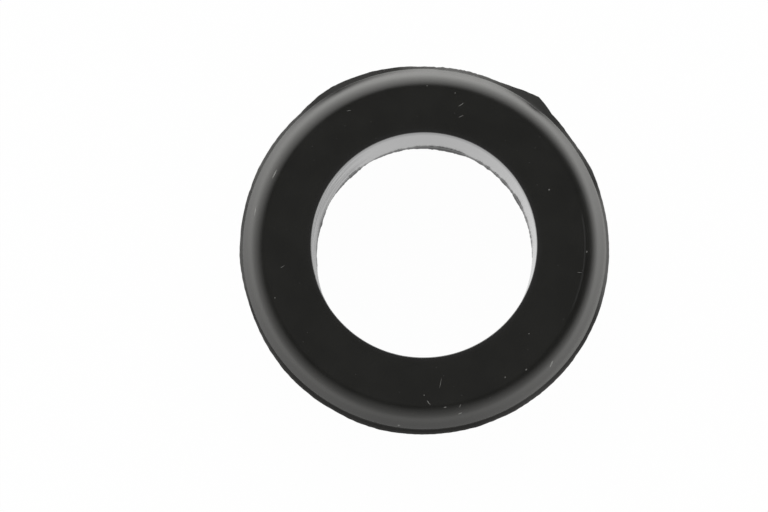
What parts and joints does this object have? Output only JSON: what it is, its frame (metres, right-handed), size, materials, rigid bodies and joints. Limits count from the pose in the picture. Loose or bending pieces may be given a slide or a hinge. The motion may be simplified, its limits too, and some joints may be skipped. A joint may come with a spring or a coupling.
{
  "type": "rubber washer",
  "caption": "Thick black moulded rubber washer with sloped and rounded outer edges, a plain bore and torn flash along its parting line, for spacing or cushioning a bolted joint.",
  "frame": {"origin": "on the bore's axis, in the plane of the seat that the washer rests on", "axes": "+Z along the bore's axis, out of the top face; +X to the right and +Y away from the viewer, as the picture shows the washer"},
  "size_m": [0.0252, 0.0252, 0.0065],
  "materials": {
    "rubber": "smooth moulded black rubber with a satin sheen, fine scratches and dust"
  },
  "bodies": {
    "root": {"washer": "rubber"}
  },
  "joints": []
}
